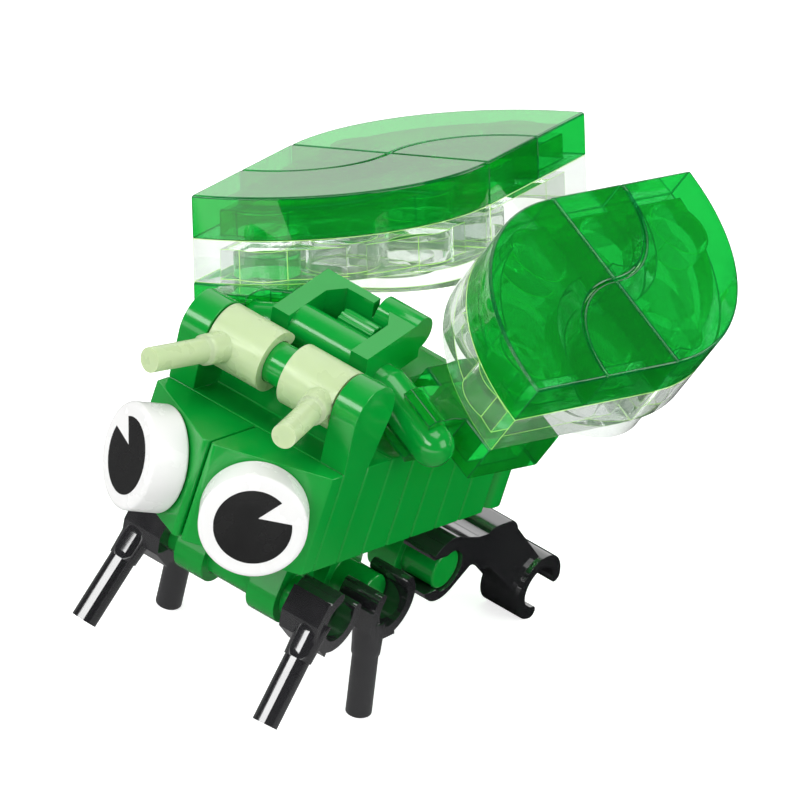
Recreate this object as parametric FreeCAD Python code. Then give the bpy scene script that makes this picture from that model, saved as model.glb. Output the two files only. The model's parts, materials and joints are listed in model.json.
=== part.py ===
import FreeCAD, Part
import math
import os

# A small toy insect built from bricks on an 8 mm module.
# Seven plates stand in a row, studs forward, and make the body. Two wedges with round eyes make the head.
# Bars on the body's edges carry clips: two feelers on top, three pairs of legs below.
# A tilted saddle on the back has two drooping bars, and each carries a wing of three layers.
# While it is modelled: X to the insect's left, Y from the face to the tail, Z up, and the body's lower
# front edge at Y = 0, Z = 0. At the end everything tips back until the middle and the hind feet stand on the
# floor, and moves so that the origin is under the middle.

os.makedirs("parts", exist_ok=True)
Vec = FreeCAD.Vector

# Brick system
MODULE = 8.0                # stud pitch
PLATE = 3.2                 # height of a plate and of a tile
SIDE_PLAY = 0.1             # each side wall stands back from the module line
STUD_R = 2.4
STUD_H = 1.7
STUD_GAP = 0.05             # between a stud and the walls that grip it
WALL = 1.5                  # outer wall of a hollow plate
ROOF = 1.0                  # closed side of a plate
TUBE_R = 3.25               # tube under a plate that is two studs wide
POST_R = 1.5                # pin under a plate that is one stud wide
EDGE = 0.12                 # small bevel on the long edges, seen as a groove between plates
BAR_R = 1.6
CLIP_GAP = 0.04             # between a bar and the clip that turns on it

# Body
BODY_PLATES = 7
HALF_W = MODULE - SIDE_PLAY
BODY_H = MODULE - 2 * SIDE_PLAY
MID_Z = BODY_H / 2
FEELER_INDEX = 0            # plates are counted from the face
FRONT_LEG_INDEX = 1
MIDDLE_LEG_INDEX = 3
HIND_LEG_INDEX = 6
BODY_END = BODY_PLATES * PLATE

# Bar over the first plate
FEELER_BAR_RISE = 4.35      # axis above the body's top
UPRIGHT_W = 2.2
UPRIGHT_R = 2.4             # round top of an upright

# Bars under three plates
LEG_BAR_DROP = 4.6          # axis below the body's bottom
ARM_INNER = 2.0
ARM_OUTER = 4.5
ARM_R = 2.3                 # round end of an arm
LEG_BAR_HALF = 7.35

# Head
HEAD_DEPTH = 6.4            # at the middle seam
HEAD_LIP = 1.5              # at the outer edge
SEAM = 0.05                 # half of the gap between two pieces that meet
RIDGE_ROUND = 0.4
EYE_R = 3.9
EYE_T = 3.05
EYE_GAP = 0.1
EYE_BEVEL = 0.25
EYE_STUD_H = 1.4
PUPIL_R = 2.8
PUPIL_T = 0.3
LEFT_NOTCH = (10.0, 40.0, 0.35)     # direction, width in degrees, and how far its tip is off the centre
RIGHT_NOTCH = (115.0, 50.0, 0.5)

# Feelers
FEELER_CLIP_W = 4.6
FEELER_CLIP_R = 2.35
FEELER_CLIP_FROM_UPRIGHT = 0.15
FEELER_ROD_X = 3.95         # where the rod's line crosses the bar's axis
FEELER_ROD_R = 0.92
FEELER_COLLAR_R = 1.12
FEELER_GUSSET_R = 1.18
FEELER_COLLAR_END = 3.8     # distance from the bar's axis
FEELER_TIP = 9.0
FEELER_SPLAY = 13.3
FEELER_PITCH = -4.0

# Front and middle legs
LEG_CLIP_W = 3.25
LEG_CLIP_R = 2.55
LEG_CLIP_FROM_ARM = 1.0
MIDDLE_CLIP_OUT = 0.45      # the middle clips sit further out on their bars
LEG_ROD_X = 2.2             # rod's line, from the clip's inner face
LEG_ROD_AHEAD = 1.34
LEG_ROD_R = 0.96
LEG_COLLAR_R = 1.2
LEG_COLLAR_TIP_R = 1.06
LEG_COLLAR_START = 0.8      # distances down the rod, from the bar's level
LEG_COLLAR_END = 3.8
LEG_TIP = 9.0
LEG_SPLAY = 3.1
LEG_BACK_R = 2.9            # corners of the thick faceted back
LEG_BACK_CORNERS = (-75, -125, -155, 165)   # their directions, from the rear towards the top
FRONT_LEG_SWING = 25.1      # forward from straight down
MIDDLE_LEG_SWING = -15.0

# Hind legs: distances from the axis of the bar, y behind it and z above it
HIND_OUTER = 7.6            # outer faces
HIND_HIP_W = 2.85
HIND_FOOT_W = 3.35
HIP_R = 2.6                 # round back of the forked hip, about a point ahead of the bar and above it
HIP_AHEAD = 0.45
HIP_UP = 0.25
HIP_TAPER = -49.0           # direction where the round back runs into the straight underside of the neck
HIP_FORK = 2.6              # ends of its two prongs, ahead of the bar
HIP_MOUTH = 1.4             # half of the opening between them
NECK_START = 3.0
NECK_LOW = -0.2
NECK_TOP = 2.15
ELBOW_FRONT_Y = 5.45        # two round corners of the elbow
ELBOW_REAR_Y = 6.85
ELBOW_Z = 0.8
ELBOW_R = 1.8
HIND_FOOT_Y = 14.55         # open end clip
HIND_FOOT_Z = -4.5
HIND_FOOT_R = 2.6
HIND_FOOT_TURN = -127.0     # where it opens, from straight up towards the face
SHIN_IN = 0.4               # the shin's sides stand back from the foot's

# Tail
TAIL_NECK = 0.6
TAIL_T = 2.4
TAIL_INSET = 0.7
TAIL_ROUND = 1.0

# Saddle: a tilted frame on the back
SADDLE_FRONT_Y = 4.85
SADDLE_FRONT_Z = 14.3
SADDLE_TILT = 15.5
SADDLE_HALF_W = 4.27
SADDLE_ARM_W = 1.5
SADDLE_ARM_L = 5.75
SADDLE_CHAMFER_Y = 4.4
SADDLE_CHAMFER_X = 0.9
SADDLE_WALL = 0.8
KNUCKLE_R = 1.3
KNUCKLE_START = 0.9
LOCK_R = 1.0
LOCK_TEETH = 12
LOCK_TOOTH = 0.18
LOCK_START = -1.0           # across the saddle
LOCK_END = 2.05
POST_Y = 10.2

# Wings
WING_YAW = 7.0              # rear end turned outward
WING_DROOP = 20.8           # outer edge lower
KNEE_X = 5.15               # where the bar that carries the wing bends down from its short level root
KNEE_BACK = 2.23            # behind the saddle's front
KNEE_DROP = 3.3             # below the saddle's top
WING_BAR_AHEAD = 2.67       # bar's axis in front of the clip plate
WING_BAR_DEPTH = 8.23       # bar's axis below the wing's top
WING_KNEE_AT = 8.12         # knee, from the wing's inner edge
WING_BAR_END = 13.4
WING_CLIP_AT = 11.4
WING_CLIP_W = 3.2
WING_CLIP_HALF = 2.2        # half height of the clip
WING_CLIP_FACET = 1.25
WING_TILE_ROOF = 1.3
TILE_LIP = 0.25             # thin wall of the small tile, outside its stud
ROUND_PLATE_R = 7.7
ROUND_PLATE_T = 2.0
CLIP_MOUTH = 50.0           # half angle of every clip's opening
MOUTH_TO_FRONT = 90.0       # turns an opening from straight up to the front
LAYER = PLATE

# Standing
STEEPEST_TILT = 12.0        # upper end of the search for the standing tilt, in degrees
TILT_STEPS = 22


# ---------------------------------------------------------------- small tools

def block(x0, x1, y0, y1, z0, z1):
    """Box between two opposite corners."""
    return Part.makeBox(x1 - x0, y1 - y0, z1 - z0, Vec(x0, y0, z0))


def round_bar(start, end, radius):
    """Solid cylinder from one point to another."""
    axis = end.sub(start)
    return Part.makeCylinder(radius, axis.Length, start, axis)


def cross_bar(x0, x1, y, z, radius):
    """Cylinder along X."""
    return round_bar(Vec(x0, y, z), Vec(x1, y, z), radius)


def side_prism(points, x0, x1):
    """Outline of (y, z) points, drawn out along X."""
    corners = [Vec(x0, y, z) for y, z in points]
    face = Part.Face(Part.makePolygon(corners + corners[:1]))
    return face.extrude(Vec(x1 - x0, 0, 0))


def top_prism(points, z0, z1):
    """Outline of (x, y) points, drawn up along Z."""
    corners = [Vec(x, y, z0) for x, y in points]
    face = Part.Face(Part.makePolygon(corners + corners[:1]))
    return face.extrude(Vec(0, 0, z1 - z0))


def mirrored(shape):
    """Mirror image on the other side of the body."""
    return shape.mirror(Vec(0, 0, 0), Vec(1, 0, 0))


def turned(shape, centre, axis, degrees):
    """Copy turned about an axis."""
    copy = shape.copy()
    copy.rotate(centre, axis, degrees)
    return copy


def fused(first, *others):
    """One solid out of several, with split faces joined again."""
    return first.fuse(list(others)).removeSplitter()


def edges_along(shape, axis, test):
    """Straight edges along one axis whose middle passes the test."""
    found = []
    for edge in shape.Edges:
        if edge.Curve.TypeId != "Part::GeomLine":
            continue
        direction = edge.tangentAt(edge.FirstParameter)
        if abs(abs(direction.dot(axis)) - 1) < 1e-6 and test(edge.CenterOfMass):
            found.append(edge)
    return found


# ---------------------------------------------------------------- body

def lobe(y0, y1, z0, centre_y, centre_z, radius, x0, x1):
    """Wall that rises or drops from an edge of a plate and ends round about a bar's axis."""
    centre = Vec(x0, centre_y, centre_z)

    def touch(y, turn):
        away = Vec(0, y - centre_y, z0 - centre_z)
        angle = math.acos(radius / away.Length) * turn
        unit = away.multiply(1 / away.Length)
        cos, sin = math.cos(angle), math.sin(angle)
        return centre + Vec(0, unit.y * cos - unit.z * sin, unit.y * sin + unit.z * cos).multiply(radius)

    side = 1 if centre_z > z0 else -1
    first, last = touch(y0, -side), touch(y1, side)
    top = centre + Vec(0, 0, side * radius)
    wire = Part.Wire([
        Part.makeLine(Vec(x0, y0, z0), first),
        Part.Arc(first, top, last).toShape(),
        Part.makeLine(last, Vec(x0, y1, z0)),
        Part.makeLine(Vec(x0, y1, z0), Vec(x0, y0, z0)),
    ])
    return Part.Face(wire).extrude(Vec(x1 - x0, 0, 0))


def studs_forward(y):
    """Two studs that point to the face from the plane at y."""
    return [
        round_bar(Vec(x, y, MID_Z), Vec(x, y - STUD_H, MID_Z), STUD_R)
        for x in (-MODULE / 2, MODULE / 2)
    ]


def body_plate(index):
    """Plate of the body: studs forward, hollow with one pin behind, bevelled long edges."""
    front = index * PLATE
    rear = front + PLATE
    shell = block(-HALF_W, HALF_W, front, rear, 0, BODY_H)
    across = edges_along(shell, Vec(1, 0, 0), lambda middle: True)
    upright = edges_along(shell, Vec(0, 0, 1), lambda middle: True)
    shell = shell.makeChamfer(EDGE, across + upright)
    hollow_z = STUD_R + STUD_GAP
    hollow = block(WALL - HALF_W, HALF_W - WALL, front + ROOF, rear, MID_Z - hollow_z, MID_Z + hollow_z)
    pin = round_bar(Vec(0, front + ROOF / 2, MID_Z), Vec(0, rear, MID_Z), POST_R)
    return fused(shell.cut(hollow), pin, *studs_forward(front))


def plate_middle(index):
    """Middle of a plate of the body, along Y."""
    return (index + 0.5) * PLATE


def feeler_plate():
    """First plate: two uprights with round tops and the bar that the feelers turn on."""
    front = FEELER_INDEX * PLATE
    axis_y = plate_middle(FEELER_INDEX)
    axis_z = BODY_H + FEELER_BAR_RISE
    upright = lobe(front, front + PLATE, BODY_H, axis_y, axis_z, UPRIGHT_R, HALF_W - UPRIGHT_W, HALF_W)
    bar = cross_bar(UPRIGHT_W / 2 - HALF_W, HALF_W - UPRIGHT_W / 2, axis_y, axis_z, BAR_R)
    return fused(body_plate(FEELER_INDEX), upright, mirrored(upright), bar)


def leg_plate(index):
    """Plate with two arms below and a bar with free ends, which two legs clip on."""
    front = index * PLATE
    axis_y = plate_middle(index)
    arm = lobe(front, front + PLATE, 0, axis_y, -LEG_BAR_DROP, ARM_R, ARM_INNER, ARM_OUTER)
    bar = cross_bar(-LEG_BAR_HALF, LEG_BAR_HALF, axis_y, -LEG_BAR_DROP, BAR_R)
    ends = [edge for edge in bar.Edges if edge.Curve.TypeId == "Part::GeomCircle"]
    bar = bar.makeChamfer(EDGE, ends)
    return fused(body_plate(index), arm, mirrored(arm), bar)


def tail_cap():
    """End tile: a narrow neck, then a rounded cap, with studs in the last plate."""
    neck_end = BODY_END + TAIL_NECK
    inner = HALF_W - TAIL_INSET
    neck = block(-inner, inner, BODY_END, neck_end, TAIL_INSET, BODY_H - TAIL_INSET)
    cap = block(-HALF_W, HALF_W, neck_end, neck_end + TAIL_T, 0, BODY_H)
    cap = cap.makeFillet(TAIL_ROUND, edges_along(cap, Vec(0, 0, 1), lambda middle: True))
    return fused(neck, cap, *studs_forward(BODY_END))


# ---------------------------------------------------------------- head and eyes

SLOPE = math.atan2(HEAD_DEPTH - HEAD_LIP, HALF_W - SEAM)
EYE_X = MODULE / 2
EYE_Y = -(HEAD_DEPTH - (EYE_X - SEAM) * math.tan(SLOPE))
EYE_SEAT = Vec(EYE_X, EYE_Y, MID_Z)
EYE_OUT = Vec(math.sin(SLOPE), -math.cos(SLOPE), 0)


def along_eye(distance):
    """Point on the eye's axis, that far out from the slope."""
    return EYE_SEAT + Vec(EYE_OUT).multiply(distance)


def head_wedge():
    """Wedge of the head on the +X side: sloping face with a stud, socket for the body's stud."""
    outline = [(SEAM, 0), (SEAM, -HEAD_DEPTH), (HALF_W, -HEAD_LIP), (HALF_W, 0)]
    wedge = top_prism(outline, 0, BODY_H)
    ridge = edges_along(wedge, Vec(0, 0, 1), lambda middle: middle.y < -HEAD_DEPTH / 2)
    wedge = wedge.makeFillet(RIDGE_ROUND, ridge)
    reach = STUD_R + STUD_GAP
    depth = STUD_H + STUD_GAP
    socket = block(EYE_X - reach, EYE_X + reach, -depth, 0, MID_Z - reach, MID_Z + reach)
    stud = round_bar(EYE_SEAT, along_eye(EYE_STUD_H), STUD_R)
    sunk = round_bar(along_eye(-EYE_BEVEL), EYE_SEAT, STUD_R)
    return fused(wedge.cut(socket), stud, sunk)


def pupil(notch, across):
    """Black inlay of an eye: a thin disc with a pie cut. across points to the viewer's right."""
    direction, width, off_centre = notch
    up = Vec(0, 0, 1)
    face = along_eye(EYE_GAP + EYE_T)
    disc = round_bar(face - Vec(EYE_OUT).multiply(PUPIL_T), face, PUPIL_R)

    def on_face(radius, degrees):
        turn = math.radians(degrees)
        return Vec(across).multiply(radius * math.cos(turn)) + Vec(up).multiply(radius * math.sin(turn))

    below = face - Vec(EYE_OUT).multiply(2 * PUPIL_T)
    tip = below + on_face(off_centre, direction)
    reach = 2 * PUPIL_R
    corners = [tip, tip + on_face(reach, direction - width / 2), tip + on_face(reach, direction + width / 2)]
    cut = Part.Face(Part.makePolygon(corners + corners[:1])).extrude(Vec(EYE_OUT).multiply(3 * PUPIL_T))
    return disc.cut(cut)


def eye(inlay):
    """Round tile with a socket for the slope's stud and a shallow seat for its pupil."""
    back = along_eye(EYE_GAP)
    disc = round_bar(back, along_eye(EYE_GAP + EYE_T), EYE_R)
    rims = [edge for edge in disc.Edges if edge.Curve.TypeId == "Part::GeomCircle"]
    disc = disc.makeChamfer(EYE_BEVEL, rims)
    socket = round_bar(EYE_SEAT, along_eye(EYE_STUD_H + EYE_GAP), STUD_R + STUD_GAP)
    return disc.cut(socket).cut(inlay)


# ---------------------------------------------------------------- clips

def clip_ring(x0, x1, outer):
    """C-shaped ring about the X axis, open towards +Z, with round lips."""
    inner = BAR_R + CLIP_GAP
    middle = (inner + outer) / 2

    def at(radius, degrees):
        turn = math.radians(degrees)
        return Vec(x0, radius * math.sin(turn), radius * math.cos(turn))

    lip = math.degrees((outer - inner) / 2 / middle)
    start, end = CLIP_MOUTH, 360 - CLIP_MOUTH
    wire = Part.Wire([
        Part.Arc(at(outer, start), at(outer, 180), at(outer, end)).toShape(),
        Part.Arc(at(outer, end), at(middle, end + lip), at(inner, end)).toShape(),
        Part.Arc(at(inner, end), at(inner, 180), at(inner, start)).toShape(),
        Part.Arc(at(inner, start), at(middle, start - lip), at(outer, start)).toShape(),
    ])
    return Part.Face(wire).extrude(Vec(x1 - x0, 0, 0))


def bore(x0, x1):
    """Room for the bar, a little longer than the clip."""
    return cross_bar(x0 - SIDE_PLAY, x1 + SIDE_PLAY, 0, 0, BAR_R + CLIP_GAP)


def antenna():
    """Feeler on the +X side: clip open to the rear, and a thin rod that points forward and outward."""
    x1 = HALF_W - UPRIGHT_W - FEELER_CLIP_FROM_UPRIGHT
    x0 = x1 - FEELER_CLIP_W
    ring = turned(clip_ring(x0, x1, FEELER_CLIP_R), Vec(0, 0, 0), Vec(1, 0, 0), -MOUTH_TO_FRONT)
    splay, pitch = math.radians(FEELER_SPLAY), math.radians(FEELER_PITCH)
    forward = Vec(math.sin(splay), -math.cos(splay) * math.cos(pitch), math.sin(pitch))
    centre = Vec(FEELER_ROD_X, 0, 0)

    def out(distance):
        return centre + Vec(forward).multiply(distance)

    root = BAR_R + (FEELER_CLIP_R - BAR_R) / 2
    rod = round_bar(out(root), out(FEELER_TIP), FEELER_ROD_R)
    gusset = Part.makeCone(
        FEELER_GUSSET_R, FEELER_COLLAR_R, FEELER_COLLAR_END - root, out(root), forward)
    collar_top = FEELER_COLLAR_END + FEELER_COLLAR_R - FEELER_ROD_R
    collar = Part.makeCone(FEELER_COLLAR_R, FEELER_ROD_R, collar_top - FEELER_COLLAR_END,
                           out(FEELER_COLLAR_END), forward)
    feeler = fused(ring, rod, gusset, collar).cut(bore(x0, x1))
    feeler.translate(Vec(0, plate_middle(FEELER_INDEX), BODY_H + FEELER_BAR_RISE))
    return feeler


def leg(index, out, swing):
    """Front or middle leg on the +X side: faceted clip open upwards, collar and rod."""
    x0 = ARM_OUTER + LEG_CLIP_FROM_ARM + out
    x1 = x0 + LEG_CLIP_W
    ring = clip_ring(x0, x1, LEG_CLIP_R)
    turns = [math.radians(corner) for corner in LEG_BACK_CORNERS]
    back = [(LEG_BACK_R * math.cos(turn), LEG_BACK_R * math.sin(turn)) for turn in turns]
    thick = side_prism([(0, 0)] + back, x0, x1)
    splay = math.radians(LEG_SPLAY)
    down = Vec(math.sin(splay), 0, -math.cos(splay))
    line = Vec(x0 + LEG_ROD_X, -LEG_ROD_AHEAD, 0)

    def at(distance):
        return line + Vec(down).multiply(distance)

    rod = round_bar(at(BAR_R), at(LEG_TIP), LEG_ROD_R)
    length = LEG_COLLAR_END - LEG_COLLAR_START
    collar = Part.makeCone(LEG_COLLAR_R, LEG_COLLAR_TIP_R, length, at(LEG_COLLAR_START), down)
    shape = fused(ring, thick, rod, collar).cut(bore(x0, x1))
    shape.rotate(Vec(0, 0, 0), Vec(1, 0, 0), -swing)
    shape.translate(Vec(0, plate_middle(index), -LEG_BAR_DROP))
    return shape


def mouth_wedge(x0, x1, outer):
    """Room in front of a clip's opening, which points to +Z."""
    reach = 2 * outer
    side = reach * math.tan(math.radians(CLIP_MOUTH))
    return side_prism([(0, 0), (-side, reach), (side, reach)], x0 - EDGE, x1 + EDGE)


def hind_hip(x0, x1):
    """Fork that grips the bar from behind, drawn in to a neck."""
    back = cross_bar(x0, x1, -HIP_AHEAD, HIP_UP, HIP_R)
    low = math.radians(HIP_TAPER)
    taper = side_prism([
        (-HIP_AHEAD, HIP_UP),
        (HIP_R * math.cos(low) - HIP_AHEAD, HIP_R * math.sin(low) + HIP_UP),
        (NECK_START, NECK_LOW),
        (NECK_START, NECK_TOP),
        (-HIP_AHEAD, HIP_UP + HIP_R),
    ], x0, x1)
    neck = block(x0, x1, NECK_START - EDGE, ELBOW_FRONT_Y, NECK_LOW, NECK_TOP)
    ahead = block(x0 - EDGE, x1 + EDGE, -2 * HIP_FORK, -HIP_FORK, -2 * HIP_R, 2 * HIP_R)
    mouth = block(x0 - EDGE, x1 + EDGE, -2 * HIP_FORK, 0, -HIP_MOUTH, HIP_MOUTH)
    return fused(back, taper, neck).cut(ahead).cut(mouth).cut(bore(x0, x1))


def hind_leg():
    """Hind leg on the +X side: forked hip, neck, elbow with two round corners, shin and open end clip."""
    x1 = HIND_OUTER
    x0 = x1 - HIND_FOOT_W
    foot_at = Vec(0, HIND_FOOT_Y, HIND_FOOT_Z)
    foot = turned(clip_ring(x0, x1, HIND_FOOT_R), Vec(0, 0, 0), Vec(1, 0, 0), HIND_FOOT_TURN)
    foot.translate(foot_at)
    elbow = [cross_bar(x0, x1, y, ELBOW_Z, ELBOW_R) for y in (ELBOW_FRONT_Y, ELBOW_REAR_Y)]
    middle = block(x0, x1, ELBOW_FRONT_Y, ELBOW_REAR_Y, ELBOW_Z - ELBOW_R, ELBOW_Z + ELBOW_R)
    run = Vec(0, HIND_FOOT_Y - ELBOW_REAR_Y, HIND_FOOT_Z - ELBOW_Z)
    side = Vec(0, -run.z, run.y).normalize()
    start, end = Vec(0, ELBOW_REAR_Y, ELBOW_Z), foot_at
    corners = [
        start + Vec(side).multiply(ELBOW_R),
        start - Vec(side).multiply(ELBOW_R),
        end - Vec(side).multiply(BAR_R),
        end + Vec(side).multiply(BAR_R),
    ]
    shin = side_prism([(corner.y, corner.z) for corner in corners], x0 + SHIN_IN, x1 - SHIN_IN)
    clear = turned(mouth_wedge(x0, x1, HIND_FOOT_R), Vec(0, 0, 0), Vec(1, 0, 0), HIND_FOOT_TURN)
    foot_bore = bore(x0, x1).fuse(clear)
    foot_bore.translate(foot_at)
    shin = shin.cut(foot_bore)
    shape = fused(hind_hip(x1 - HIND_HIP_W, x1), middle, *elbow, shin, foot)
    shape.translate(Vec(0, plate_middle(HIND_LEG_INDEX), -LEG_BAR_DROP))
    return shape


# ---------------------------------------------------------------- saddle

SADDLE_INNER = SADDLE_HALF_W - SADDLE_ARM_W
KNUCKLE_Y = SADDLE_ARM_L + KNUCKLE_R - SADDLE_WALL / 2
LOCK_Y = (2 * BAR_R + KNUCKLE_Y - KNUCKLE_R) / 2


def on_saddle(shape):
    """From the saddle's own frame (y along its arms, z square to its top) to the body's."""
    shape.rotate(Vec(0, 0, 0), Vec(1, 0, 0), SADDLE_TILT)
    shape.translate(Vec(0, SADDLE_FRONT_Y, SADDLE_FRONT_Z))
    return shape


def saddle_frame():
    """Two arms that widen to the rear, a bar between their front ends, a rear wall and a knuckle."""
    outline = [
        (SADDLE_HALF_W, 0),
        (SADDLE_HALF_W, SADDLE_ARM_L),
        (SADDLE_INNER - SADDLE_CHAMFER_X, SADDLE_ARM_L),
        (SADDLE_INNER, SADDLE_CHAMFER_Y),
        (SADDLE_INNER, 0),
    ]
    arm = top_prism(outline, -PLATE, 0)
    bar = cross_bar(-SADDLE_INNER - EDGE, SADDLE_INNER + EDGE, BAR_R, -BAR_R, BAR_R)
    wall_end = SADDLE_ARM_L + SADDLE_WALL
    wall = block(-SADDLE_HALF_W, KNUCKLE_START - SADDLE_WALL / 2, SADDLE_ARM_L, wall_end, -PLATE, 0)
    knuckle_z = SADDLE_WALL / 4 - KNUCKLE_R
    knuckle = cross_bar(KNUCKLE_START, SADDLE_HALF_W, KNUCKLE_Y, knuckle_z, KNUCKLE_R)
    floor = block(-SADDLE_HALF_W, SADDLE_HALF_W, SADDLE_ARM_L, KNUCKLE_Y, -PLATE, -KNUCKLE_R)
    return on_saddle(fused(arm, mirrored(arm), bar, wall, knuckle, floor))


def saddle_post():
    """Small plate on the back, with a toothed head that fills the gap behind the saddle's cross bar."""
    half = MODULE / 2 - SIDE_PLAY
    plate = block(-half, half, POST_Y, POST_Y + 2 * half, BODY_H, BODY_H + PLATE)
    plate = plate.makeChamfer(EDGE, edges_along(plate, Vec(1, 0, 0), lambda middle: middle.z > BODY_H))
    lock_z = -BAR_R
    teeth = []
    for step in range(2 * LOCK_TEETH):
        radius = LOCK_R if step % 2 else LOCK_R - LOCK_TOOTH
        turn = math.pi * step / LOCK_TEETH
        teeth.append((LOCK_Y + radius * math.cos(turn), lock_z + radius * math.sin(turn)))
    lock = side_prism(teeth, LOCK_START, LOCK_END)
    foot = -PLATE - 2 * ROOF
    neck = block(LOCK_START, LOCK_END, LOCK_Y - LOCK_R / 2, LOCK_Y + LOCK_R / 2, foot, lock_z)
    return fused(plate, on_saddle(neck), on_saddle(lock))


# ---------------------------------------------------------------- wings
# A wing's own frame: x outward along its bar, y to the rear, z square to its top, which is at z = 0.
# Its outline is two quarter discs with a radius of two modules. The rear one is centred on the inner edge
# at (0, 0), and the front one on the outer edge at (2 modules, 0).

SPAN = 2 * MODULE
BAR_Y = -SPAN - WING_BAR_AHEAD
KNEE = on_saddle(Part.Vertex(KNEE_X, KNEE_BACK, -KNEE_DROP)).Point


def on_wing(shape):
    """From the wing's own frame to the body's, with the knee of its bar beside the saddle."""
    shape.translate(Vec(-WING_KNEE_AT, -BAR_Y, WING_BAR_DEPTH))
    shape.rotate(Vec(0, 0, 0), Vec(0, 1, 0), WING_DROOP)
    shape.rotate(Vec(0, 0, 0), Vec(0, 0, 1), -WING_YAW)
    shape.translate(KNEE)
    return shape


def quarter(inner, outer, inset, z0, z1):
    """Quarter of a disc or ring about the Z axis, its straight sides set back by inset."""
    disc = Part.makeCylinder(outer, z1 - z0, Vec(0, 0, z0))
    if inner > 0:
        disc = disc.cut(Part.makeCylinder(inner, z1 - z0, Vec(0, 0, z0)))
    return disc.common(block(inset, outer, inset, outer, z0, z1))


def to_front(shape):
    """Rear quarter's piece turned half round, so that it is the front quarter's."""
    return turned(shape, Vec(SPAN / 2, 0, 0), Vec(0, 0, 1), 180)


def stud_places(cells):
    """Middles of the cells, in millimetres."""
    return [((column + 0.5) * MODULE, (row + 0.5) * MODULE) for column, row in cells]


CORNER_CELL = [(0, 0)]
RING_CELLS = [(1, 0), (0, 1)]


def discs(places, radius, z0, z1):
    """Upright cylinders at the given places."""
    return [Part.makeCylinder(radius, z1 - z0, Vec(x, y, z0)) for x, y in places]


def tile(inner, outer, cells):
    """Tile of the top layer: bevelled top edge, hollow below, with room for the studs under it."""
    body = quarter(inner, outer, SEAM, -LAYER, 0)
    top = [edge for edge in body.Edges if abs(edge.BoundBox.ZMin) < 1e-6 and abs(edge.BoundBox.ZMax) < 1e-6]
    body = body.makeChamfer(EDGE, top)
    floor = -LAYER
    ceiling = -WING_TILE_ROOF
    inner_wall = inner + WALL if inner > 0 else 0
    hollow = quarter(inner_wall, outer - WALL, WALL, floor, ceiling)
    pockets = discs(stud_places(cells), STUD_R + STUD_GAP, floor, ceiling)
    inside = quarter(0, outer - TILE_LIP, TILE_LIP, floor, ceiling)
    return body.cut(hollow.fuse(pockets).common(inside))


def ring_tile():
    return tile(MODULE + SEAM, SPAN - SIDE_PLAY, RING_CELLS)


def quarter_tile():
    return tile(0, MODULE - SEAM, CORNER_CELL)


def wing_plate():
    """Clear plate of the middle layer: rounded corner, three studs, hollow with a tube below."""
    top, floor = -LAYER, -2 * LAYER
    body = quarter(0, SPAN - SIDE_PLAY, SEAM, floor, top)
    hollow = quarter(0, SPAN - WALL, WALL, floor, top - ROOF)
    room = discs([(MODULE, MODULE)], TUBE_R, floor, top - ROOF)
    tube = discs([(MODULE, MODULE)], STUD_R + STUD_GAP, floor, top - ROOF)
    pockets = discs(stud_places(CORNER_CELL + RING_CELLS), STUD_R + STUD_GAP, floor, top - ROOF)
    shell = body.cut(hollow.cut(room[0].cut(tube[0])).fuse(pockets))
    studs = discs(stud_places(RING_CELLS), STUD_R, top, top + STUD_H)
    corner = discs(stud_places(CORNER_CELL), STUD_R, top, top + STUD_H)[0]
    room_in_tile = quarter(0, MODULE - SEAM - TILE_LIP - STUD_GAP, SEAM, top, top + STUD_H)
    return fused(shell, corner.common(room_in_tile), *studs)


def round_plate():
    """Clear round plate of the lowest layer, which ties the two quarters together."""
    top = -2 * LAYER
    floor = top - ROUND_PLATE_T
    middle_x = SPAN / 2
    centre = [(middle_x, 0.0)]
    body = discs(centre, ROUND_PLATE_R, floor, top)[0]
    hollow = discs(centre, ROUND_PLATE_R - WALL, floor, top - ROOF)[0]
    tube = discs(centre, TUBE_R, floor, top - ROOF)[0]
    tube_bore = discs(centre, STUD_R + STUD_GAP, floor, top - ROOF)[0]
    places = [(middle_x + x * MODULE / 2, y * MODULE / 2) for x in (-1, 1) for y in (-1, 1)]
    studs = discs(places, STUD_R, top, top + STUD_H)
    return fused(body.cut(hollow.cut(tube.cut(tube_bore))), *studs)


def clip_plate():
    """Small plate under the front tip, with the clip that grips the saddle's bar."""
    top, floor = -2 * LAYER, -3 * LAYER
    y0, y1 = -SPAN, -SPAN + MODULE
    plate = block(MODULE + SEAM, SPAN - SEAM, y0, y1 - SIDE_PLAY, floor, top)
    plate = plate.makeChamfer(EDGE, edges_along(plate, Vec(1, 0, 0), lambda middle: True))
    hollow = block(MODULE + WALL, SPAN - WALL, y0 + WALL, y1 - WALL, floor, top - ROOF)
    stud = discs([(SPAN - MODULE / 2, y0 + MODULE / 2)], STUD_R, top, top + STUD_H)
    x0 = WING_CLIP_AT - WING_CLIP_W / 2
    x1 = WING_CLIP_AT + WING_CLIP_W / 2
    flat, cut = WING_CLIP_HALF, WING_CLIP_HALF - WING_CLIP_FACET
    lip = flat * math.cos(math.radians(CLIP_MOUTH))
    outline = [
        (WING_BAR_AHEAD + EDGE, WING_BAR_DEPTH + top), (cut, flat), (-cut, flat), (-lip - WALL / 2, cut),
        (-lip - WALL / 2, -cut), (-cut, -flat), (cut, -flat), (WING_BAR_AHEAD + EDGE, -cut),
    ]
    mouth = turned(mouth_wedge(x0, x1, flat), Vec(0, 0, 0), Vec(1, 0, 0), MOUTH_TO_FRONT)
    jaws = side_prism(outline, x0, x1).cut(bore(x0, x1)).cut(mouth)
    jaws.translate(Vec(0, BAR_Y, -WING_BAR_DEPTH))
    return fused(plate.cut(hollow), *stud, jaws)


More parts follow.
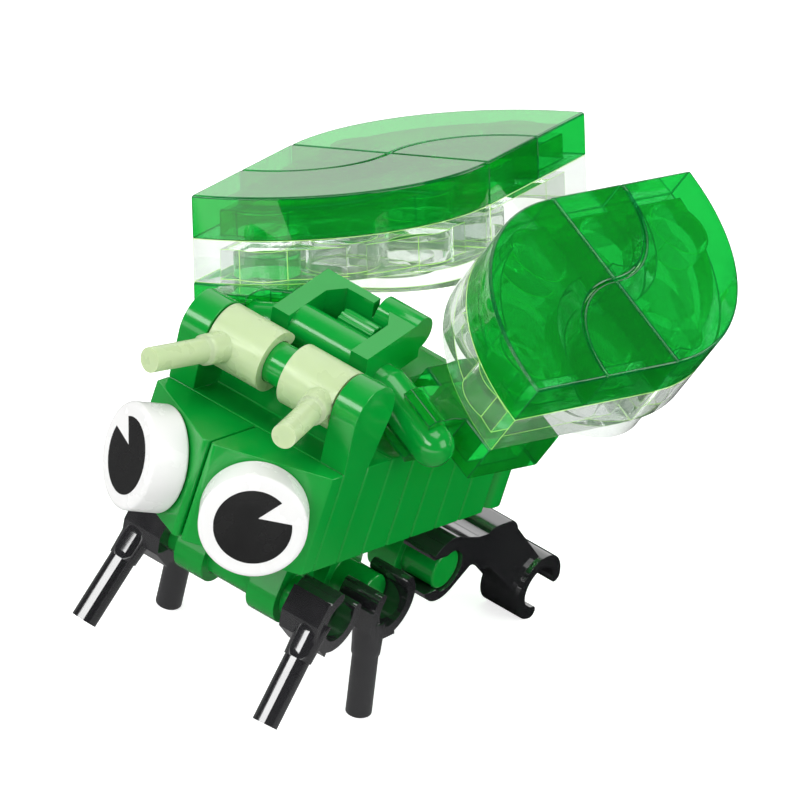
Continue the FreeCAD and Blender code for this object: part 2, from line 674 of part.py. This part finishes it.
def side_bar():
    """Lengths of the bar beside the saddle: a level root, a drooping end, a round knee and a ball."""
    start = Vec(WING_KNEE_AT, BAR_Y, -WING_BAR_DEPTH)
    end = Vec(WING_BAR_END, BAR_Y, -WING_BAR_DEPTH)
    level = cross_bar(SADDLE_INNER, KNEE.x, KNEE.y, KNEE.z, BAR_R)
    slanted = on_wing(round_bar(start, end, BAR_R))
    knee = Part.makeSphere(BAR_R, KNEE)
    ball = on_wing(Part.makeSphere(BAR_R, end))
    return [level, slanted, knee, ball]


def wing_saddle():
    """Saddle with a bar for each wing."""
    shape = saddle_frame()
    for length in side_bar():
        shape = shape.fuse(length).fuse(mirrored(length))
    return shape.removeSplitter()


# ---------------------------------------------------------------- assembly

def build():
    """Every piece by its name, in the modelling frame."""
    pieces = {
        "head_wedge_left": head_wedge(),
        "plate_1_top_handle": feeler_plate(),
        "plate_2_front_pins": leg_plate(FRONT_LEG_INDEX),
        "plate_4_middle_pins": leg_plate(MIDDLE_LEG_INDEX),
        "plate_7_rear_pins": leg_plate(HIND_LEG_INDEX),
        "tail_cap": tail_cap(),
        "saddle_post": saddle_post(),
        "wing_saddle": wing_saddle(),
    }
    pieces["head_wedge_right"] = mirrored(pieces["head_wedge_left"])
    special = (FEELER_INDEX, FRONT_LEG_INDEX, MIDDLE_LEG_INDEX, HIND_LEG_INDEX)
    for index in range(BODY_PLATES):
        if index not in special:
            pieces["plate_%d" % (index + 1)] = body_plate(index)

    viewer_right = Vec(math.cos(SLOPE), math.sin(SLOPE), 0)
    pieces["eye_left_pupil"] = pupil(LEFT_NOTCH, viewer_right)
    pieces["eye_left"] = eye(pieces["eye_left_pupil"])
    direction, width, off_centre = RIGHT_NOTCH
    far_pupil = pupil((180 - direction, width, off_centre), viewer_right)
    pieces["eye_right_pupil"] = mirrored(far_pupil)
    pieces["eye_right"] = mirrored(eye(far_pupil))

    rear_ring, rear_quarter, rear_plate = ring_tile(), quarter_tile(), wing_plate()
    pairs = {
        "antenna": antenna(),
        "leg_front": leg(FRONT_LEG_INDEX, 0, FRONT_LEG_SWING),
        "leg_middle": leg(MIDDLE_LEG_INDEX, MIDDLE_CLIP_OUT, MIDDLE_LEG_SWING),
        "leg_hind": hind_leg(),
        "wing_rear_ring_tile": on_wing(rear_ring.copy()),
        "wing_rear_quarter_tile": on_wing(rear_quarter.copy()),
        "wing_rear_plate": on_wing(rear_plate.copy()),
        "wing_front_ring_tile": on_wing(to_front(rear_ring)),
        "wing_front_quarter_tile": on_wing(to_front(rear_quarter)),
        "wing_front_plate": on_wing(to_front(rear_plate)),
        "wing_round_plate": on_wing(round_plate()),
        "wing_clip_plate": on_wing(clip_plate()),
    }
    for name, shape in pairs.items():
        pieces[name + "_left"] = shape
        pieces[name + "_right"] = mirrored(shape)
    return pieces


def lowest(shape, tilt):
    """Height of the lowest point after the insect has tipped back."""
    return turned(shape, Vec(0, 0, 0), Vec(1, 0, 0), -tilt).optimalBoundingBox(False, False).ZMin


def standing_tilt(middle_leg, rear_leg):
    """How far the insect tips back until its middle and hind feet are level, by halving a range."""
    low, high = 0.0, STEEPEST_TILT
    for _ in range(TILT_STEPS):
        tilt = (low + high) / 2
        if lowest(middle_leg, tilt) < lowest(rear_leg, tilt):
            low = tilt
        else:
            high = tilt
    return tilt


def main():
    """Build the pieces, stand them on the floor and write each one out."""
    pieces = build()
    tilt = standing_tilt(pieces["leg_middle_left"], pieces["leg_hind_left"])
    for shape in pieces.values():
        shape.rotate(Vec(0, 0, 0), Vec(1, 0, 0), -tilt)
    box = Part.makeCompound(list(pieces.values())).optimalBoundingBox(False, False)
    middle_y = (box.YMin + box.YMax) / 2
    shift = Vec(0, -middle_y, -box.ZMin)
    for name, shape in pieces.items():
        shape.translate(shift)
        shape.exportStep("parts/%s.step" % name)
    print("tilt %.6f" % tilt)
    print("shift %.4f %.4f %.4f" % (shift.x, shift.y, shift.z))
    print("size %.3f %.3f %.3f" % (box.XLength, box.YLength, box.ZLength))


main()
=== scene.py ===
import json
import math

import bmesh
import bpy
import numpy as np
from mathutils import Matrix, Vector


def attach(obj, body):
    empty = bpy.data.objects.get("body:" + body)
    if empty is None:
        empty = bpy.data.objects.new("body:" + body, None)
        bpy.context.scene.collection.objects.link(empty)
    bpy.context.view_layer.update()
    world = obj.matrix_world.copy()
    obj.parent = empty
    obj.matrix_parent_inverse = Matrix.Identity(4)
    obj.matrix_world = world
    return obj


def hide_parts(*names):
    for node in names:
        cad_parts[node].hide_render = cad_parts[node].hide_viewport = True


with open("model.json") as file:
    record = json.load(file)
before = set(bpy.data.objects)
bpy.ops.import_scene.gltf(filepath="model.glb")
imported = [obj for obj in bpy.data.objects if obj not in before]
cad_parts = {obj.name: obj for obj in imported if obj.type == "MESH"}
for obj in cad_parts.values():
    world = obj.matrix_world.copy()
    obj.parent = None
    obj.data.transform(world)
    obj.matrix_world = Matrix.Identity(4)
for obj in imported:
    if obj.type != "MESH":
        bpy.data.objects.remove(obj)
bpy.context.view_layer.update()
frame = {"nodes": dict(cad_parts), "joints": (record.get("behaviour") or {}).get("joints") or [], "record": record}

# A small toy grasshopper built from bricks: green body of seven plates, white eyes, pale feelers,
# black legs and two wings, each with clear green tiles over clear plates.
# Metres. The insect faces -Y, its left side is at +X, and it stands on the plane z = 0.

MM = 0.001

# Edges
EDGE_ROUND = 0.11 * MM          # moulded edges of the opaque pieces
CLEAR_EDGE_ROUND = 0.17 * MM    # polished edges of the clear pieces
EDGE_STEPS = 2                  # faces across a rounded edge
SHARP = math.radians(28)        # an edge that turns more than this is rounded
WELD = 0.002 * MM               # points nearer than this are one
FLAT = math.radians(0.6)        # faces that differ less than this are one
FACE_WEIGHT = 100               # large faces alone set the shading, so they stay flat

# Finishes
NOISE_LOW = 0.3                 # noise mostly lies between these two values
NOISE_HIGH = 0.7
TONES_PER_MM = 0.12             # solid plastic: patches of the two tones,
GLOSS_PER_MM = 0.5              # patches of more and less gloss,
WAVES_PER_MM = 0.7              # waves of a moulded face
WAVE = 0.0006 * MM              # and their depth
COAT_ROUGH = 0.04
GLOW_REACH = 1.2 * MM           # how far light travels inside the feelers
GLOW_COLOURS = (1.0, 1.0, 0.6)  # and how much of that for red, green and blue
CLEAR_TONES_PER_MM = 0.15
CLEAR_WAVES_PER_MM = 0.35
CLEAR_WAVE = 0.0008 * MM
CLEAR_ROUGH = 0.02
CLEAR_BEND = 1.08               # less than real, so that the inside of the wings is easy to read
CLEAR_COAT_BEND = 1.5
# Painted glow: colour of the light that the edges of clear pieces send out, though they are no lamps
PAINTED_GLOW_COLOUR = (0.55, 1.0, 0.20)

# Eyes: distances out from the sloping face of the head
EYE_BACK = 0.10 * MM
EYE_FRONT = 3.15 * MM
EYE_R = 3.90 * MM
EYE_RIM = 0.34 * MM
PUPIL_R = 2.80 * MM
INK = 0.015 * MM                # the pupil stands that far off the white
INK_DEPTH = 3 * INK             # from the pupil's face to its back, which lies inside the white
NOTCH_TIP = (0.18 * MM, 0.75 * MM)  # outward and up from the eye's middle
NOTCH_TURN = 29.0               # direction of the cut, from outward towards up
NOTCH_WIDTH = 46.0
ROUND_STEPS = 96                # steps round an eye
RIM_STEPS = 8                   # steps over its soft rim
HOLD = 0.03 * MM                # from the rim to the ring of points that keeps a face flat

# Camera: looks at a point at the top of the body from the front left, a little rolled
CAMERA_AIM = Vector((5.96, -8.92, 25.23)) * MM
CAMERA_AWAY = 1.60
CAMERA_AZIMUTH = math.radians(28.19)
CAMERA_ELEVATION = math.radians(27.32)
CAMERA_ROLL = math.radians(15.68)
SENSOR = 36.0
LENS = 1014.5
NEAREST = 0.01
FARTHEST = 10.0

# Light: how bright the room is for each kind of ray
ROOM_SOFT = 0.45                # what lights matt faces
ROOM_DARK = 0.03                # what shiny faces show of the dark side of the studio
ROOM_BRIGHT = 1.0               # and of the white backdrop behind the object, on its right
BACKDROP_FULL = -0.36           # x of the direction up to which it is white
BACKDROP_END = -0.16            # x of the direction where the dark begins
BEHIND_START = 0.0              # y of the direction where the backdrop begins
BEHIND_FULL = 0.5               # y of the direction from which it is white
FLOOR_HALF = 1.5
FLOOR_TONE = (0.80, 0.80, 0.80)
FLOOR_SHEEN = 0.20              # what shiny faces show of the floor before the object
FLOOR_DARK = 0.005              # and behind it
FLOOR_FRONT = -5 * MM           # y where the front part ends
FLOOR_BACK = 15 * MM            # y where the part behind begins
CARD_SHEEN = 1.5                # shiny faces also show a white card on the floor, well before the object
CARD_FULL = -120 * MM           # y up to which it is white
CARD_END = -90 * MM             # y where it ends
FLOOR_GLOW = 0.75               # added for the camera, so that the floor is white as a background
CLEAR_BOUNCES = 24              # walls of clear plastic that light may cross
GLOSSY_BOUNCES = 8


# ---------------------------------------------------------------- finishes

def shader_tree(name):
    """New material with an empty node tree, and its output node."""
    material = bpy.data.materials.new(name)
    material.use_nodes = True
    tree = material.node_tree
    tree.nodes.clear()
    output = tree.nodes.new("ShaderNodeOutputMaterial")
    return material, tree, output


def noise(tree, per_mm, detail=2.0):
    """Noise on Object coordinates, with about that many features in a millimetre."""
    place = tree.nodes.new("ShaderNodeTexCoord")
    node = tree.nodes.new("ShaderNodeTexNoise")
    node.inputs["Scale"].default_value = per_mm / MM
    node.inputs["Detail"].default_value = detail
    tree.links.new(place.outputs["Object"], node.inputs["Vector"])
    return node.outputs["Fac"]


def spread(tree, value, low, high):
    """Noise carried from the range where it mostly lies to low..high."""
    node = tree.nodes.new("ShaderNodeMapRange")
    node.inputs["From Min"].default_value = NOISE_LOW
    node.inputs["From Max"].default_value = NOISE_HIGH
    node.inputs["To Min"].default_value = low
    node.inputs["To Max"].default_value = high
    tree.links.new(value, node.inputs["Value"])
    return node.outputs["Result"]


def two_tones(tree, value, first, second):
    """Colour between two near tones, by a value from 0 to 1."""
    node = tree.nodes.new("ShaderNodeMix")
    node.data_type = "RGBA"
    node.inputs["A"].default_value = (*first, 1)
    node.inputs["B"].default_value = (*second, 1)
    tree.links.new(value, node.inputs["Factor"])
    return node.outputs["Result"]


def skin_bump(tree, per_mm, depth):
    """The faint waviness of a moulded face."""
    bump = tree.nodes.new("ShaderNodeBump")
    bump.inputs["Distance"].default_value = depth
    bump.inputs["Strength"].default_value = 1.0
    tree.links.new(noise(tree, per_mm), bump.inputs["Height"])
    return bump.outputs["Normal"]


def mixed(tree, share, first, second):
    """The first shader, with that share of the second."""
    node = tree.nodes.new("ShaderNodeMixShader")
    tree.links.new(share, node.inputs["Fac"])
    tree.links.new(first, node.inputs[1])
    tree.links.new(second, node.inputs[2])
    return node.outputs["Shader"]


def moulded_plastic(name, first, second, dull, shiny, coat=0.0, glow=0.0, bend=1.52):
    """Solid coloured plastic: two near tones, uneven gloss and a faint waviness."""
    material, tree, output = shader_tree(name)
    shader = tree.nodes.new("ShaderNodeBsdfPrincipled")
    tone = spread(tree, noise(tree, TONES_PER_MM, detail=3.0), 0.0, 1.0)
    gloss = spread(tree, noise(tree, GLOSS_PER_MM, detail=4.0), shiny, dull)
    tree.links.new(two_tones(tree, tone, first, second), shader.inputs["Base Color"])
    tree.links.new(gloss, shader.inputs["Roughness"])
    tree.links.new(skin_bump(tree, WAVES_PER_MM, WAVE), shader.inputs["Normal"])
    shader.inputs["Coat Weight"].default_value = coat
    shader.inputs["Coat Roughness"].default_value = COAT_ROUGH
    shader.inputs["IOR"].default_value = bend
    if glow:
        shader.inputs["Subsurface Weight"].default_value = glow
        shader.inputs["Subsurface Radius"].default_value = GLOW_COLOURS
        shader.inputs["Subsurface Scale"].default_value = GLOW_REACH
    tree.links.new(shader.outputs["BSDF"], output.inputs["Surface"])
    return material


def clear_plastic(name, first, second, shadow, clear, painted_glow=0.0):
    """Clear plastic: a see-through body that bends light a little, under a glossy coat, and a tinted shadow.

    An edge may also have a painted glow: an emission that stands in for the light that its piece gathers.
    """
    material, tree, output = shader_tree(name)
    shader = tree.nodes.new("ShaderNodeBsdfPrincipled")
    tone = spread(tree, noise(tree, CLEAR_TONES_PER_MM), 0.0, 1.0)
    tree.links.new(two_tones(tree, tone, first, second), shader.inputs["Base Color"])
    tree.links.new(skin_bump(tree, CLEAR_WAVES_PER_MM, CLEAR_WAVE), shader.inputs["Normal"])
    shader.inputs["Transmission Weight"].default_value = clear
    shader.inputs["Roughness"].default_value = CLEAR_ROUGH
    shader.inputs["IOR"].default_value = CLEAR_BEND
    shader.inputs["Coat Weight"].default_value = 1.0
    shader.inputs["Coat Roughness"].default_value = CLEAR_ROUGH
    shader.inputs["Coat IOR"].default_value = CLEAR_COAT_BEND
    # painted glow: a yellow-green emission standing in for light gathered at an edge
    shader.inputs["Emission Color"].default_value = (*PAINTED_GLOW_COLOUR, 1)
    shader.inputs["Emission Strength"].default_value = painted_glow
    veil = tree.nodes.new("ShaderNodeBsdfTransparent")
    veil.inputs["Color"].default_value = (*shadow, 1)
    light = tree.nodes.new("ShaderNodeLightPath")
    whole = mixed(tree, light.outputs["Is Shadow Ray"], shader.outputs["BSDF"], veil.outputs["BSDF"])
    tree.links.new(whole, output.inputs["Surface"])
    return material


def make_finishes():
    """One finish for each material slot of the part."""
    return {
        "green_plastic": moulded_plastic(
            "bright_green", (0.001, 0.300, 0.032), (0.002, 0.335, 0.038), 0.22, 0.14, coat=0.35),
        "white_plastic": moulded_plastic(
            "eye_white", (0.87, 0.87, 0.86), (0.90, 0.90, 0.89), 0.30, 0.20),
        "black_ink": moulded_plastic(
            "pupil_black", (0.006, 0.006, 0.006), (0.010, 0.010, 0.010), 0.30, 0.20),
        "black_plastic": moulded_plastic(
            "leg_black", (0.014, 0.014, 0.016), (0.022, 0.022, 0.024), 0.14, 0.07, coat=0.8, bend=2.0),
        "pale_green_plastic": moulded_plastic(
            "feeler_green", (0.50, 0.63, 0.35), (0.54, 0.67, 0.39), 0.34, 0.24, glow=0.3),
        "clear_green_plastic": clear_plastic(
            "clear_green", (0.008, 0.44, 0.055), (0.013, 0.49, 0.065), (0.30, 0.80, 0.38), 0.80),
        "clear_plastic": clear_plastic(
            "clear", (0.69, 0.72, 0.68), (0.76, 0.77, 0.78), (0.90, 0.93, 0.89), 0.94),
    }


def make_painted_edge_lines():
    """Finish of the rounded edges of clear pieces, which show as lines of painted light: painted shade, a darker
    and less clear green, on the green pieces, and painted glow with a yellow-green tint on the clear ones.
    """
    return {
        # green pieces: painted shade, a darker and less clear green along the edges
        "clear_green_plastic": clear_plastic(
            "clear_green_edge_painted_shade", (0.002, 0.14, 0.035), (0.005, 0.18, 0.045), (0.30, 0.80, 0.38), 0.45),
        # clear pieces: painted glow and a yellow-green tint along the edges, standing in for gathered light
        "clear_plastic": clear_plastic(
            "clear_edge_painted_glow", (0.22, 0.36, 0.10), (0.30, 0.44, 0.16), (0.90, 0.93, 0.89), 0.30, painted_glow=0.6),
    }


# ---------------------------------------------------------------- pieces over the solids

def welded(node, name):
    """Copy of a solid's mesh with its triangles joined into whole faces."""
    mesh = frame["nodes"][node].data.copy()
    mesh.name = name
    mesh.materials.clear()
    work = bmesh.new()
    work.from_mesh(mesh)
    bmesh.ops.remove_doubles(work, verts=work.verts, dist=WELD)
    bmesh.ops.dissolve_limit(work, angle_limit=FLAT, verts=work.verts, edges=work.edges)
    work.to_mesh(mesh)
    work.free()
    return mesh


def round_edges(piece, width):
    """Rounds every sharp edge, shades curved faces smooth and keeps flat ones flat."""
    bevel = piece.modifiers.new("edges", "BEVEL")
    bevel.width = width
    bevel.segments = EDGE_STEPS
    bevel.limit_method = "ANGLE"
    bevel.angle_limit = SHARP
    piece.data.shade_smooth()
    flat = piece.modifiers.new("flat_faces", "WEIGHTED_NORMAL")
    flat.mode = "FACE_AREA"
    flat.weight = FACE_WEIGHT


def dress(node, body, material, edge):
    """A solid's piece: its shape with rounded edges, and its finish. Clear edges have one of their own, with
    painted shade or painted glow.
    """
    mesh = welded(node, node + "_shell")
    piece = bpy.data.objects.new(node + "_shell", mesh)
    bpy.context.scene.collection.objects.link(piece)
    mesh.materials.append(material)
    round_edges(piece, CLEAR_EDGE_ROUND if edge else EDGE_ROUND)
    if edge:
        mesh.materials.append(edge)
        # the rounded edges take the painted edge lines
        piece.modifiers["edges"].material = 1
    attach(piece, body)
    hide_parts(node)
    return piece


def dress_all(finishes, painted_edge_lines):
    """Every solid of the part gets its piece. Eyes and pupils are made new, in make_eye."""
    slots = {}
    for part in frame["record"]["subparts"]:
        slots[part["node"]] = part["material_slot"]
    for body, nodes in frame["record"]["behaviour"]["bodies"].items():
        if body.startswith("eye"):
            make_eye(body, finishes)
            continue
        for node in nodes:
            slot = slots[node]
            dress(node, body, finishes[slot], painted_edge_lines.get(slot))


# ---------------------------------------------------------------- pieces worked out as surfaces

def surface(name, points, material):
    """Closed piece over a grid of points: each row is a ring, and quads join each ring to the next one."""
    rows, columns = points.shape[:2]
    first = np.arange(rows - 1)[:, None] * columns
    here = np.arange(columns)[None, :]
    beside = (here + 1) % columns
    next_ring = first + columns
    quads = np.stack([first + here, first + beside, next_ring + beside, next_ring + here], axis=-1)
    mesh = bpy.data.meshes.new(name)
    mesh.from_pydata(points.reshape(-1, 3), [], quads.reshape(-1, 4))
    work = bmesh.new()
    work.from_mesh(mesh)
    bmesh.ops.remove_doubles(work, verts=work.verts, dist=WELD)
    bmesh.ops.dissolve_degenerate(work, edges=work.edges, dist=WELD / 4)
    bmesh.ops.recalc_face_normals(work, faces=work.faces)
    work.to_mesh(mesh)
    work.free()
    mesh.shade_smooth()
    mesh.materials.append(material)
    piece = bpy.data.objects.new(name, mesh)
    bpy.context.scene.collection.objects.link(piece)
    return piece


def turned(profile, centre, axis, side):
    """Profile of (along, radius) pairs carried round an axis.

    Point = centre + along * axis + radius * (cos a * side + sin a * (axis x side)), for each angle a.
    """
    angle = np.linspace(0, 2 * np.pi, ROUND_STEPS, endpoint=False)
    across = np.cross(axis, side)
    ring = np.cos(angle)[:, None] * side + np.sin(angle)[:, None] * across
    along, radius = np.asarray(profile).T
    return centre + along[:, None, None] * axis + radius[:, None, None] * ring


def rounded_disc(back, front, radius, edge):
    """Profile of a disc: flat faces, with a quarter round of that size at each rim.

    A quarter round's point is its centre + edge * (sin t, cos t). One more point just inside each rim keeps
    the flat faces flat.
    """
    turn = np.linspace(0, np.pi / 2, RIM_STEPS)
    quarter = edge * np.stack([np.sin(turn), np.cos(turn)], axis=-1)
    rear = np.array([back + edge, radius - edge]) + quarter[::-1] * (-1, 1)
    face = np.array([front - edge, radius - edge]) + quarter
    hold = radius - edge - HOLD
    return np.vstack([[back, 0], [back, hold], rear, face, [front, hold], [front, 0]])


def pie_cut_disc(radius, tip, direction, width):
    """Outline of a disc with a pie cut: the arc of the disc between the cut's two ends, then the cut's tip.

    The cut's straight sides leave the tip at direction - width / 2 and direction + width / 2. Each one ends
    on the circle at tip + reach * unit, where reach solves |tip + reach * unit| = radius.
    """
    sides = np.radians([direction + width / 2, direction - width / 2])
    unit = np.stack([np.cos(sides), np.sin(sides)], axis=-1)
    ahead = unit @ tip
    reach = np.sqrt(ahead ** 2 + radius ** 2 - tip @ tip) - ahead
    ends = tip + reach[:, None] * unit
    start, end = np.arctan2(ends[:, 1], ends[:, 0])
    angle = np.linspace(start, end + 2 * np.pi, ROUND_STEPS)
    arc = radius * np.stack([np.cos(angle), np.sin(angle)], axis=-1)
    return np.vstack([arc, tip])


def make_eye(body, finishes):
    """White round eye with a soft rim, and its black pupil with a pie cut that points up and outward."""
    joint = next(joint for joint in frame["joints"] if joint["child"] == body)
    seat = np.array(joint["pos_m"])
    axis = np.array(joint["axis"])
    axis /= np.linalg.norm(axis)
    up = np.array([0, axis[2], -axis[1]])
    up /= np.linalg.norm(up)
    outward = np.cross(up, axis) * np.sign(seat[0])
    profile = rounded_disc(EYE_BACK, EYE_FRONT - INK, EYE_R, EYE_RIM)
    eye = surface(body + "_disc", turned(profile, seat, axis, up), finishes["white_plastic"])
    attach(eye, body)
    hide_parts(body)

    outline = pie_cut_disc(PUPIL_R, np.array(NOTCH_TIP), NOTCH_TURN, NOTCH_WIDTH)
    ring = outline[:, :1] * outward + outline[:, 1:] * up
    tip = np.broadcast_to(ring[-1], ring.shape)
    face = seat + axis * EYE_FRONT
    under = face - axis * INK_DEPTH
    points = np.stack([face + tip, face + ring, under + ring, under + tip])
    pupil = surface(body + "_pupil_ink", points, finishes["black_ink"])
    pupil.data.shade_flat()
    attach(pupil, body)
    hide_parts(body + "_pupil")


# ---------------------------------------------------------------- stage

def emission(tree, strength, kind="ShaderNodeEmission"):
    """Even white light of that strength."""
    node = tree.nodes.new(kind)
    node.inputs["Color"].default_value = (1, 1, 1, 1)
    node.inputs["Strength"].default_value = strength
    return node.outputs[0]


def combined(tree, operation, first, second):
    """Two values put together: ADD, MULTIPLY, or MAXIMUM for the larger of them."""
    node = tree.nodes.new("ShaderNodeMath")
    node.operation = operation
    tree.links.new(first, node.inputs[0])
    tree.links.new(second, node.inputs[1])
    return node.outputs["Value"]


def ramp(tree, value, start, end, at_start, at_end):
    """Smooth step between two levels."""
    node = tree.nodes.new("ShaderNodeMapRange")
    node.interpolation_type = "SMOOTHSTEP"
    node.inputs["From Min"].default_value = start
    node.inputs["From Max"].default_value = end
    node.inputs["To Min"].default_value = at_start
    node.inputs["To Max"].default_value = at_end
    tree.links.new(value, node.inputs["Value"])
    return node.outputs["Result"]


def parted(tree, coordinates):
    """X, Y and Z of a place or of a direction."""
    place = tree.nodes.new("ShaderNodeTexCoord")
    split = tree.nodes.new("ShaderNodeSeparateXYZ")
    tree.links.new(place.outputs[coordinates], split.inputs["Vector"])
    return split.outputs


def ray_kinds(tree):
    """Tells rays that see the background, directly or through clear pieces, and rays from shiny faces."""
    light = tree.nodes.new("ShaderNodeLightPath").outputs
    seen = combined(tree, "MAXIMUM", light["Is Camera Ray"], light["Is Transmission Ray"])
    return seen, light["Is Glossy Ray"]


def floor_sheen(tree):
    """What shiny faces show of the floor: dark behind the object, grey before it, then a white card."""
    y = parted(tree, "Object")["Y"]
    card = ramp(tree, y, CARD_FULL, CARD_END, CARD_SHEEN, 0)
    near = ramp(tree, y, FLOOR_FRONT, FLOOR_BACK, FLOOR_SHEEN, FLOOR_DARK)
    sheen = emission(tree, 0)
    tree.links.new(combined(tree, "ADD", card, near), sheen.node.inputs["Strength"])
    return sheen


def stage_floor():
    """Pale floor that keeps the shadow. It is white to the camera, also through clear pieces."""
    mesh = bpy.data.meshes.new("floor")
    corners = [
        (-FLOOR_HALF, -FLOOR_HALF, 0),
        (FLOOR_HALF, -FLOOR_HALF, 0),
        (FLOOR_HALF, FLOOR_HALF, 0),
        (-FLOOR_HALF, FLOOR_HALF, 0)]
    mesh.from_pydata(corners, [], [(0, 1, 2, 3)])
    floor = bpy.data.objects.new("floor", mesh)
    bpy.context.scene.collection.objects.link(floor)
    material, tree, output = shader_tree("floor_white")
    diffuse = tree.nodes.new("ShaderNodeBsdfDiffuse")
    diffuse.inputs["Color"].default_value = (*FLOOR_TONE, 1)
    lit = tree.nodes.new("ShaderNodeAddShader")
    tree.links.new(diffuse.outputs["BSDF"], lit.inputs[0])
    tree.links.new(emission(tree, FLOOR_GLOW), lit.inputs[1])
    seen, shiny = ray_kinds(tree)
    unseen = mixed(tree, shiny, diffuse.outputs["BSDF"], floor_sheen(tree))
    tree.links.new(mixed(tree, seen, unseen, lit.outputs["Shader"]), output.inputs["Surface"])
    mesh.materials.append(material)


def stage_world():
    """Even soft light. Shiny pieces show a white backdrop behind the object and a dark room before it."""
    world = bpy.data.worlds.new("studio")
    bpy.context.scene.world = world
    world.use_nodes = True
    tree = world.node_tree
    tree.nodes.clear()
    output = tree.nodes.new("ShaderNodeOutputWorld")
    direction = parted(tree, "Generated")
    right = ramp(tree, direction["X"], BACKDROP_FULL, BACKDROP_END, 1, 0)
    behind = ramp(tree, direction["Y"], BEHIND_START, BEHIND_FULL, 0, 1)
    soft = emission(tree, ROOM_SOFT, "ShaderNodeBackground")
    dark = emission(tree, ROOM_DARK, "ShaderNodeBackground")
    white = emission(tree, ROOM_BRIGHT, "ShaderNodeBackground")
    room = mixed(tree, combined(tree, "MULTIPLY", right, behind), dark, white)
    seen, shiny = ray_kinds(tree)
    unseen = mixed(tree, shiny, soft, room)
    tree.links.new(mixed(tree, seen, unseen, white), output.inputs["Surface"])


def away(azimuth, elevation):
    """Unit vector to a place round the object. Azimuth 0 is in front of its face, 90 at its left."""
    return Vector((
        math.sin(azimuth) * math.cos(elevation),
        -math.cos(azimuth) * math.cos(elevation),
        math.sin(elevation)))


def softbox(name, azimuth, elevation, distance, width, height, power):
    """Flat lamp that faces the object: its place in degrees and metres, its size and its power in watts."""
    lamp = bpy.data.lights.new(name, "AREA")
    lamp.shape = "RECTANGLE"
    lamp.size = width
    lamp.size_y = height
    lamp.energy = power
    light = bpy.data.objects.new(name, lamp)
    bpy.context.scene.collection.objects.link(light)
    back = away(math.radians(azimuth), math.radians(elevation))
    light.rotation_mode = "QUATERNION"
    light.location = CAMERA_AIM + back * distance
    light.rotation_quaternion = (-back).to_track_quat("-Z", "Y")


def stage_lamps():
    """Long key at the front, which draws a strip on each front leg, and smaller lamps round the object."""
    softbox("key", -18, 29, 0.55, 0.75, 0.14, 2.0)
    softbox("fill", 95, 30, 0.55, 0.30, 0.30, 0.8)
    softbox("edge", 150, 20, 0.55, 0.25, 0.25, 0.5)
    softbox("top", 15, 85, 0.60, 0.45, 0.35, 1.4)


def stage_camera():
    """The photograph's camera, turned about its own line of sight by the roll."""
    lens = bpy.data.cameras.new("camera")
    lens.lens = LENS
    lens.sensor_width = SENSOR
    lens.clip_start = NEAREST
    lens.clip_end = FARTHEST
    camera = bpy.data.objects.new("camera", lens)
    bpy.context.scene.collection.objects.link(camera)
    back = away(CAMERA_AZIMUTH, CAMERA_ELEVATION)
    level = (-back).to_track_quat("-Z", "Y").to_matrix()
    roll = Matrix.Rotation(CAMERA_ROLL, 3, "Z")
    camera.matrix_world = Matrix.Translation(CAMERA_AIM + back * CAMERA_AWAY) @ (level @ roll).to_4x4()
    bpy.context.scene.camera = camera


def let_light_through():
    """Light may cross many clear walls before it is lost."""
    cycles = bpy.context.scene.cycles
    cycles.max_bounces = CLEAR_BOUNCES
    cycles.transmission_bounces = CLEAR_BOUNCES
    cycles.glossy_bounces = GLOSSY_BOUNCES


bpy.context.scene.view_settings.view_transform = "Standard"
let_light_through()
dress_all(make_finishes(), make_painted_edge_lines())
stage_floor()
stage_world()
stage_lamps()
stage_camera()
